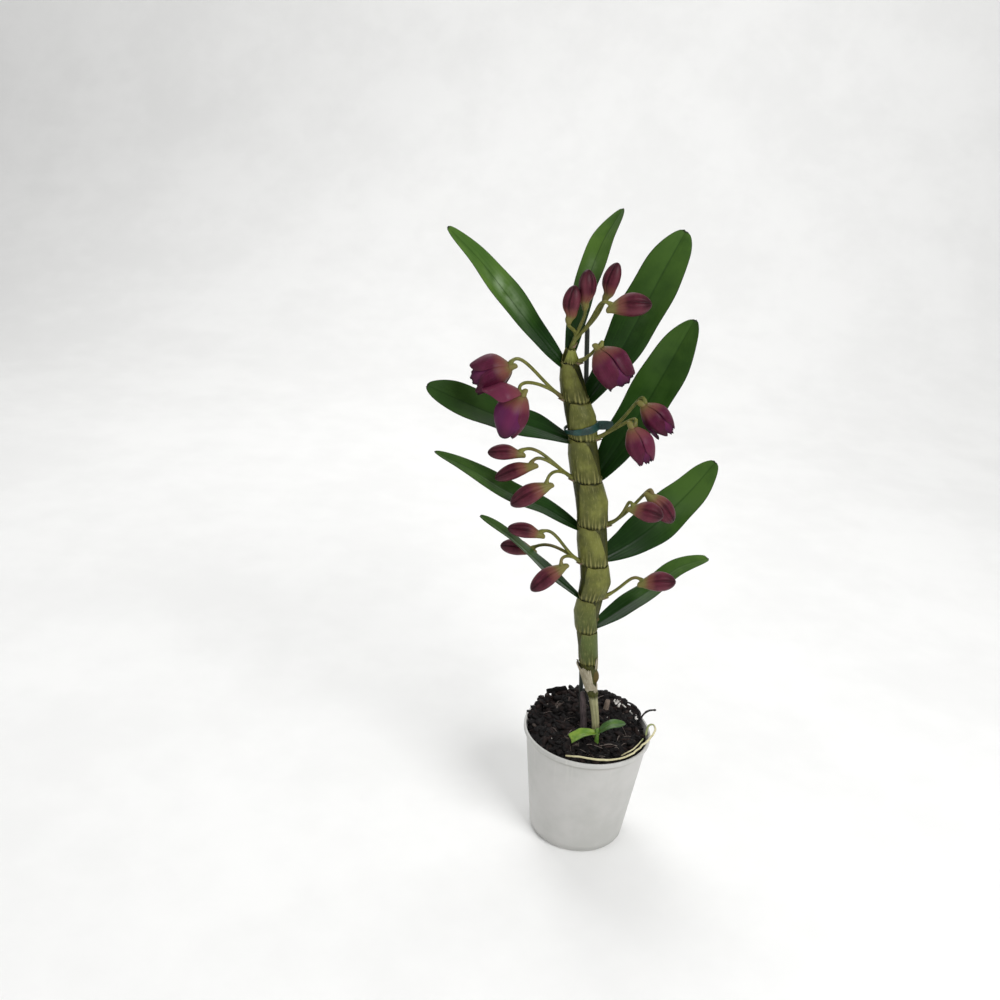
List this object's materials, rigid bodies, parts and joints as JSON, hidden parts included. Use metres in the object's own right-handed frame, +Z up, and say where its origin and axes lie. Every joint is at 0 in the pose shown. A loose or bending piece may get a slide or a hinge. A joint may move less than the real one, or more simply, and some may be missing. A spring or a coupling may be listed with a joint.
{
  "type": "potted orchid plant",
  "caption": "Staked upright dendrobium orchid cane in a pale nursery pot, with strap leaves in two ranks, purple buds and half-open blooms.",
  "frame": {"origin": "centre of the pot's flat base, on the surface that the pot stands on", "axes": "+Z up, along the pot's axis; the flowers face -Y, and the leaves stand in two ranks towards +X and -X"},
  "size_m": [0.2, 0.1042, 0.439],
  "materials": {
    "pot": "satin, pale grey-white",
    "medium": "rough, dark bark mix",
    "cane": "smooth olive skin under dry grey sheaths",
    "bract": "dry, papery",
    "stub": "dead, brown",
    "stub_pale": "dead, pale buff",
    "keiki": "fresh, half gloss",
    "stake": "near-black",
    "tie": "dark teal",
    "root": "pale, dull",
    "root_dark": "dull black",
    "leaf": "glossy deep green",
    "bud": "waxy maroon",
    "bloom": "waxy purple",
    "stalk": "half gloss, yellow-green"
  },
  "bodies": {
    "root": {"pot": "pot", "growing_medium": "medium", "cane": "cane", "dry_bract": "bract", "old_stub_dark": "stub", "old_stub_pale": "stub_pale", "keiki": "keiki", "stake": "stake", "tie": "tie", "aerial_root": "root", "wiry_root": "root_dark", "leaf_1": "leaf", "leaf_2": "leaf", "leaf_3": "leaf", "leaf_4": "leaf", "leaf_5": "leaf", "leaf_6": "leaf", "leaf_7": "leaf", "leaf_8": "leaf", "leaf_9": "leaf", "bud_1a": "bud", "stalk_1": "stalk", "bud_2a": "bud", "bud_2b": "bud", "bud_2c": "bud", "stalk_2": "stalk", "bud_3a": "bud", "bud_3b": "bud", "stalk_3": "stalk", "bud_4a": "bud", "bud_4b": "bud", "bud_4c": "bud", "stalk_4": "stalk", "bloom_5a": "bloom", "bloom_5b": "bloom", "stalk_5": "stalk", "bloom_6a": "bloom", "bloom_6b": "bloom", "stalk_6": "stalk", "bloom_7a": "bloom", "stalk_7": "stalk", "bud_8a": "bud", "bud_8b": "bud", "bud_8c": "bud", "bud_8d": "bud", "stalk_8": "stalk"}
  },
  "joints": []
}
